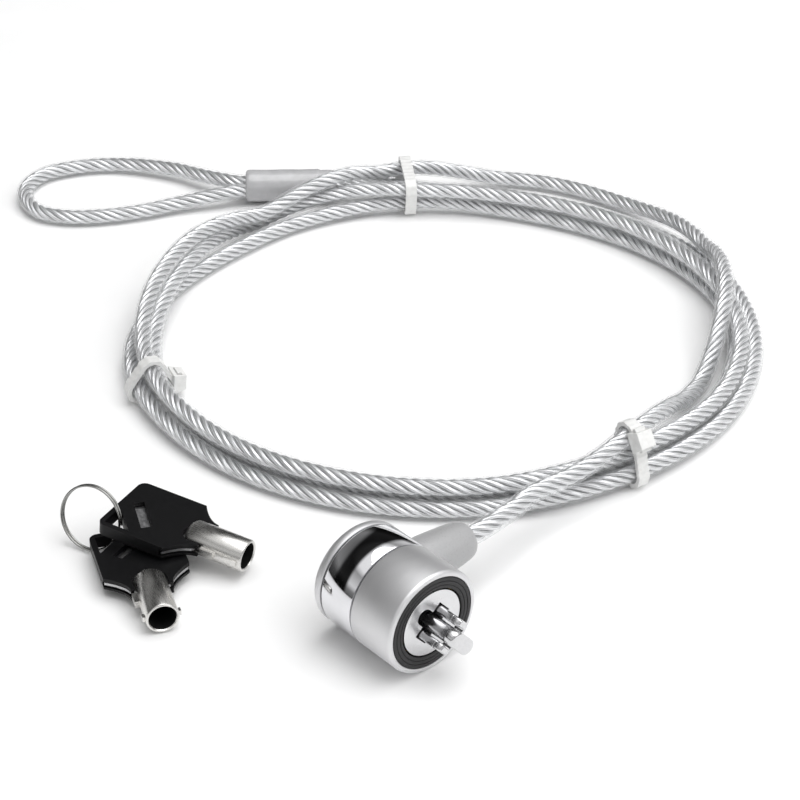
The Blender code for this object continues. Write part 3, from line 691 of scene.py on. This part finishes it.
def make_head(mats):
    place = Matrix.Translation(HEAD)
    rolled = place @ rotation(PIN_ROLL, "X")
    rim_radius, cap_radius = 0.7, 1.6
    rim = arc((-rim_radius, HEAD_RADIUS - rim_radius), rim_radius, 90, 0, 6)
    sleeve = [(SLEEVE_REAR, 9.15), (SLEEVE_REAR, 9.8), (SLEEVE_REAR + 0.1, 9.98),
              (SLEEVE_REAR + 0.3, HEAD_RADIUS), *rim[:-1], (0, 9.3), (-0.06, 9.05), (-0.5, 8.95)]
    add_piece("shell_front", turned(sleeve), mats["satin"], "housing",
              ("front_sleeve",), place)

    cap_round = arc((CAP_REAR + cap_radius, HEAD_RADIUS - cap_radius), cap_radius, 90, 180, 12)
    cap = [(CAP_FRONT, KEY_OPENING), (CAP_FRONT, 9.85), (CAP_FRONT - 0.1, 10.0),
           (CAP_FRONT - 0.25, HEAD_RADIUS), *cap_round, (CAP_REAR, KEY_OPENING + 0.35),
           (CAP_REAR + 0.1, KEY_OPENING + 0.1), (CAP_REAR + 0.35, KEY_OPENING)]
    notch = block((CAP_REAR - 1, -4.4, -0.8), (CAP_FRONT + 1, -2, 0.8))
    add_piece("shell_cap", turned(cap), mats["satin"], "housing", ("rear_cap",), place,
              [("DIFFERENCE", notch)])

    bead = [(-1.5, 6.75), (-1.5, 8.9), (-0.15, 8.9), (-0.02, 8.8), (0, 8.7), (0, 8.25), (-0.12, 8.2),
            (-0.12, 8.12), (0, 8.07), (0, 7.5), (-0.12, 7.45), (-0.12, 7.37), (0, 7.32), (0, 6.95),
            (-0.05, 6.82), (-0.15, 6.75)]
    add_piece("face_gasket", turned(bead), mats["rubber"], "housing", ("face_ring",),
              place)

    disc = [(-1.8, 0), (-1.8, 6.45), (-0.25, 6.45), (-0.15, 6.42), (-0.1, 6.3), (-0.1, 0)]
    opening = stacked(stadium(4.3, 1.55), [(-3, 1), (1, 1)])
    slots = stacked([(-3.66, -1.66), (3.66, -1.66), (3.66, 1.66), (-3.66, 1.66)], [(-3, 1), (1, 1)])
    add_piece("face_plate", turned(disc, closed=False), mats["disc"], "housing",
              ("face_disc",), rolled, [("DIFFERENCE", opening), ("DIFFERENCE", slots)])

    base = turned([(-3.6, 1.8), (-3.6, 6.2), (-2.1, 6.2), (-2.1, 1.8)], 96)
    stations = [(-2.6, 1), (3.5, 1), (3.58, 0.95), (3.8, 0.95), (3.88, 1), (4.7, 1), (5.0, 0.94),
                (5.25, 0.84), (5.42, 0.7), (5.5, 0.55)]
    pins = []
    for low, high in ((1.86, 3.36), (-3.36, -1.86)):
        pins.append(("UNION", stacked(rounded_box((low, -1.35), (high, 1.35), 0.45), stations)))
    # The base, sunk behind the face plate, takes the painted shadow
    add_piece("guide_pin_pair", base, mats["pin"], "housing", ("guide_pins",), rolled,
              pins, inner=(mats["shadow"], lambda centre: centre.x < -2.0))

    bar = stacked(stadium(3.4, 1.55), [(5.7, 0.88), (5.8, 0.96), (5.95, 1), (7.2, 1), (7.42, 0.97),
                                       (7.6, 0.9), (7.72, 0.8), (7.75, 0.7)])
    across = rotation(90, "Y")
    pin_hole = moved(rod(0.8, -3, 3, 24), Matrix.Translation((-6.2, 0, 0)) @ across)
    add_piece("locking_bar", bar, mats["pin"], "rotor", ("t_bar",), rolled,
              [("UNION", rod(1.5, -7.7, 6.5, 48)), ("DIFFERENCE", pin_hole)])


def make_swivel(mats):
    place = Matrix.Translation(HEAD)
    band = [(BAND_REAR, 7.6), (BAND_REAR, 9.72), (BAND_REAR + 0.08, 9.9), (BAND_REAR + 0.35, HEAD_RADIUS),
            (BAND_FRONT - 0.35, HEAD_RADIUS), (BAND_FRONT - 0.08, 9.9), (BAND_FRONT, 9.72),
            (BAND_FRONT, 7.6)]
    sideways = Matrix.Translation((BOOT_STATION, 0, 0)) @ rotation(90, "Z")
    add_piece("swivel_band", turned(band), mats["polished"], "cable_side",
              ("swivel_ring",), place, [("DIFFERENCE", moved(rod(2.9, 4, 12), sideways))])

    outside = [(8.6, 2.9), (8.6, 4.65), (9.6, 4.64), (11, 4.6), (13, 4.47), (15, 4.3), (16.5, 4.16),
               (18, 4.0), (19, 3.86), (19.7, 3.72), (20.2, 3.56), (20.6, 3.36), (20.9, 3.12),
               (21.1, 2.85), (BOOT_TIP, 2.5), (BOOT_TIP, 2.15), (15.3, 2.15), (15.3, 2.9)]
    seat = moved(rod(HEAD_RADIUS + GAP, -10, 10, SIDES), rotation(-90, "Z"))
    add_piece("strain_relief", turned(outside, 96), mats["boot"], "cable_side",
              ("boot",), place @ sideways, [("DIFFERENCE", seat)])


# ---------------------------------------------------------------- keys and ring

def bow_edge(inset, start, end, steps=10):
    """Hollow front edge of the bow on its +Y side, from fraction start to fraction end."""
    points = []
    for i in range(steps + 1):
        t = start + (end - start) * i / steps
        y = 8.0 + (3.9 - 8.0) * (1 - (1 - t) ** 1.8)
        points.append((-13.5 + 5.0 * t - inset, y - inset))
    return points


def mirrored(upper):
    return upper + [(x, -y) for x, y in reversed(upper)]


def key_place(name):
    """The key's frame: turned as in the part, and placed so its barrel fills the CAD barrel's box."""
    heading, dip, roll = KEY_TURNS[name]
    turn = rotation(heading, "Z") @ rotation(dip, "Y") @ rotation(roll, "X")
    probe = make_barrel_mesh()
    corners = [turn @ v.co for v in probe.verts]
    probe.free()
    low, high = node_box(name + "_barrel")
    # The tip's rim is the barrel's own highest reach along the key, so the box is matched there
    mine = Vector([(min(c[i] for c in corners) + max(c[i] for c in corners)) / 2 for i in range(3)])
    return Matrix.Translation((low + high) / 2 - mine) @ turn


def make_barrel_mesh():
    profile = [(-12.5, 0), (-12.5, 1.6), (-12.3, 2.05), (-12.0, 2.5), (-11.6, 2.85), (-11.2, 3.1),
               (-0.3, 3.1), (-0.1, 3.03), (0, 2.88), (0, 2.65), (-0.2, 2.5), (-7.5, 2.5), (-7.5, 0)]
    return turned(profile, 96, closed=False)


def make_key(name, mats):
    place = key_place(name)
    corner = arc((-26.0, 6.4), 1.6, 90, 180, 8)
    outline = mirrored(bow_edge(0, 0, 1)[::-1] + corner)
    pocket = [(-20.6, -5.4), (-15.2, -5.4), (-14.0, -8.6), (-8, -8.6), (-8, 8.6), (-14.0, 8.6),
              (-15.2, 5.4), (-22, 5.4), (-25.8, 3.4), (-25.8, 0.2)]
    window = [(-19.9, -4.9), (-18.5, -3.4), (-23.8, 2.5), (-25.2, 1.0)]
    hole = [(-26.5, -6.9), (-21.3, -6.9), (-26.5, -1.7)]
    seat = turned([(-13.0, 0), (-13.0, 1.8), (-12.3, 2.9), (-11.4, 3.4), (-7, 3.4), (-7, 0)], 48,
                  closed=False)
    cutters = [("DIFFERENCE", extruded(pocket, -0.72, 0.36)), ("DIFFERENCE", extruded(window, 0, 3)),
               ("DIFFERENCE", extruded(hole, -3, 3)), ("DIFFERENCE", seat)]
    add_piece(name + "_grip", extruded(outline, -1.2, 1.2), mats["black"], name,
              (name + "_bow",), place, cutters, bevel=0.22, segments=3, sharp=50)

    front = bow_edge(0.2, 0, 0.8)
    plate = [(-25.5, 3.2), (-22, 5.1), (-14.7, 5.1), *front, (-9.4, 3.4), (-9.4, -3.4)]
    plate += [(x, -y) for x, y in reversed(front)] + [(-14.7, -5.1), (-20.5, -5.1), (-25.5, 0.3)]
    add_piece(name + "_insert", extruded(plate, -0.43, 0.07), mats["plate"], name,
              (name + "_plate",), place)

    carve = [("DIFFERENCE", block((-14, -4, -0.72), (-9.0, 4, 0.36))),
             ("DIFFERENCE", block((-14, -4, -5), (-8.2, 4, -1.2))),
             ("UNION", block((-8.1, -3.9, -0.7), (-5.4, -2.9, 0.7))),
             ("UNION", block((-1.7, -3.5, -0.5), (-0.7, -2.8, 0.5))),
             ("UNION", block((-1.7, 2.8, -0.5), (-0.7, 3.5, 0.5)))]
    # The bore inside the barrel takes the painted shadow
    add_piece(name + "_tube", make_barrel_mesh(), mats["nickel"], name,
              (name + "_barrel",), place, carve,
              inner=(mats["shadow"], lambda centre: -7.6 < centre.x < -0.1 and centre.yz.length < 2.55))


def make_ring(mats):
    """Split ring: two turns of wire, a pitch apart, with its steps at the ends."""
    low, high = node_box("key_ring")
    steps, sides, radius = 144, 12, 6.2
    rings = []
    for i in range(2 * steps + 1):
        angle = 2 * math.pi * i / steps
        out = Vector((0, math.cos(angle), math.sin(angle)))
        centre = out * radius + Vector(((i / steps - 1) * RING_PITCH, 0, 0))
        rings.append([centre + RING_WIRE / 2 * (math.cos(a) * out + math.sin(a) * Vector((1, 0, 0)))
                      for a in (2 * math.pi * k / sides for k in range(sides))])
    turn = rotation(RING_AZIMUTH, "Z") @ rotation(-RING_ELEVATION, "Y")
    add_piece("split_ring", bridged(rings), mats["ring"], "ring", ("key_ring",),
              Matrix.Translation((low + high) / 2) @ turn)


# ---------------------------------------------------------------- inner parts, stage and light

def finish_inner_parts(mats):
    """Gives the CAD nodes that stay in place, inside the head and the ferrule, their materials."""
    finishes = {"core_shell": "brass", "core_rotor": "brass", "retaining_clip": "pin",
                "roll_pin": "pin", "cable_anchor": "pin", "anchor_pin": "pin", "crimp_plug": "pin",
                "ferrule": "pin"}
    for number in range(1, 8):
        finishes[f"tumbler_pin_{number}"] = "pin"
        finishes[f"tumbler_spring_{number}"] = "pin"
    for node, finish in finishes.items():
        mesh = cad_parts[node].data
        mesh.materials.clear()
        mesh.materials.append(mats[finish])


def sky_ramp(nodes, links, factor, stops):
    """Grey levels by position along a factor."""
    ramp = nodes.new("ShaderNodeValToRGB")
    (first, shade), *between, (last, end_shade) = stops
    ramp.color_ramp.elements[0].position = first
    ramp.color_ramp.elements[0].color = (shade, shade, shade, 1)
    ramp.color_ramp.elements[1].position = last
    ramp.color_ramp.elements[1].color = (end_shade, end_shade, end_shade, 1)
    for place, level in between:
        ramp.color_ramp.elements.new(place).color = (level, level, level, 1)
    links.new(factor, ramp.inputs["Fac"])
    return ramp.outputs["Color"]


def make_world():
    """White to the camera; for reflections, a soft sky that is dark low down and on the -X side."""
    world = bpy.data.worlds.new("studio")
    bpy.context.scene.world = world
    world.use_nodes = True
    nodes, links = world.node_tree.nodes, world.node_tree.links
    nodes.clear()
    coords = nodes.new("ShaderNodeTexCoord")
    parts = nodes.new("ShaderNodeSeparateXYZ")
    links.new(coords.outputs["Generated"], parts.inputs["Vector"])
    height = sky_ramp(nodes, links, parts.outputs["Z"],
                      [(0.0, 0.10), (0.18, 0.22), (0.34, 0.75), (0.52, 0.55), (0.68, 0.35),
                       (0.80, 0.95), (1.0, 1.0)])
    sideways = nodes.new("ShaderNodeMapRange")
    sideways.inputs["From Min"].default_value = -1.0
    links.new(parts.outputs["X"], sideways.inputs["Value"])
    side = sky_ramp(nodes, links, sideways.outputs["Result"],
                    [(0.0, 0.35), (0.10, 0.30), (0.13, 0.02), (0.27, 0.02), (0.31, 1.0), (1.0, 1.0)])
    both = nodes.new("ShaderNodeMix")
    both.data_type = "RGBA"
    both.blend_type = "MULTIPLY"
    both.inputs["Factor"].default_value = 1.0
    links.new(height, both.inputs["A"])
    links.new(side, both.inputs["B"])
    seen = nodes.new("ShaderNodeBackground")
    seen.inputs["Color"].default_value = (1, 1, 1, 1)
    sky = nodes.new("ShaderNodeBackground")
    sky.inputs["Strength"].default_value = 1.0
    links.new(both.outputs["Result"], sky.inputs["Color"])
    path = nodes.new("ShaderNodeLightPath")
    mix = nodes.new("ShaderNodeMixShader")
    links.new(path.outputs["Is Camera Ray"], mix.inputs["Fac"])
    links.new(sky.outputs["Background"], mix.inputs[1])
    links.new(seen.outputs["Background"], mix.inputs[2])
    output = nodes.new("ShaderNodeOutputWorld")
    links.new(mix.outputs["Shader"], output.inputs["Surface"])


def add_light(name, place, aim, size, energy):
    data = bpy.data.lights.new(name, "AREA")
    data.shape = "DISK"
    data.size = size
    data.energy = energy
    lamp = bpy.data.objects.new(name, data)
    bpy.context.collection.objects.link(lamp)
    lamp.location = place
    lamp.rotation_euler = (Vector(aim) - Vector(place)).to_track_quat("-Z", "Y").to_euler()


def make_stage():
    bm = bmesh.new()
    bmesh.ops.create_grid(bm, x_segments=1, y_segments=1, size=3.0)
    mesh = bpy.data.meshes.new("floor")
    bm.to_mesh(mesh)
    bm.free()
    floor = bpy.data.objects.new("floor", mesh)
    bpy.context.collection.objects.link(floor)
    paper = grained("floor_paper", (0.93, 0.93, 0.93), 0.9, 0.0, (60, 60, 60), 0.01, 0.02, 0.01)
    mesh.materials.append(paper)
    add_light("key_light", (0.10, 0.20, 0.90), (-0.04, 0.05, 0), 1.0, 5.6)
    add_light("fill_light", (0.75, 0.35, 0.60), (0, 0.03, 0), 0.8, 2.4)


def make_camera():
    data = bpy.data.cameras.new("camera")
    data.lens = 99.9
    data.sensor_width = 36
    camera = bpy.data.objects.new("camera", data)
    bpy.context.collection.objects.link(camera)
    camera.location = Vector((254.7, -195.75, 250.0)) * MM
    aim = Vector((-34.9, 57.85, 0)) * MM
    camera.rotation_euler = (aim - camera.location).to_track_quat("-Z", "Y").to_euler()
    bpy.context.scene.camera = camera


def main():
    make_camera()
    mats = make_materials()
    route = cable_route()
    jacket, rope = make_cable(mats, route)
    on_cable = [rope, make_sleeve(mats)]
    for name in TIE_HEADS:
        on_cable += make_tie(name, mats, route)
    make_head(mats)
    make_swivel(mats)
    for name in KEY_TURNS:
        make_key(name, mats)
    make_ring(mats)
    finish_inner_parts(mats)
    make_stage()
    make_world()
    bpy.context.scene.view_settings.view_transform = "Standard"


main()
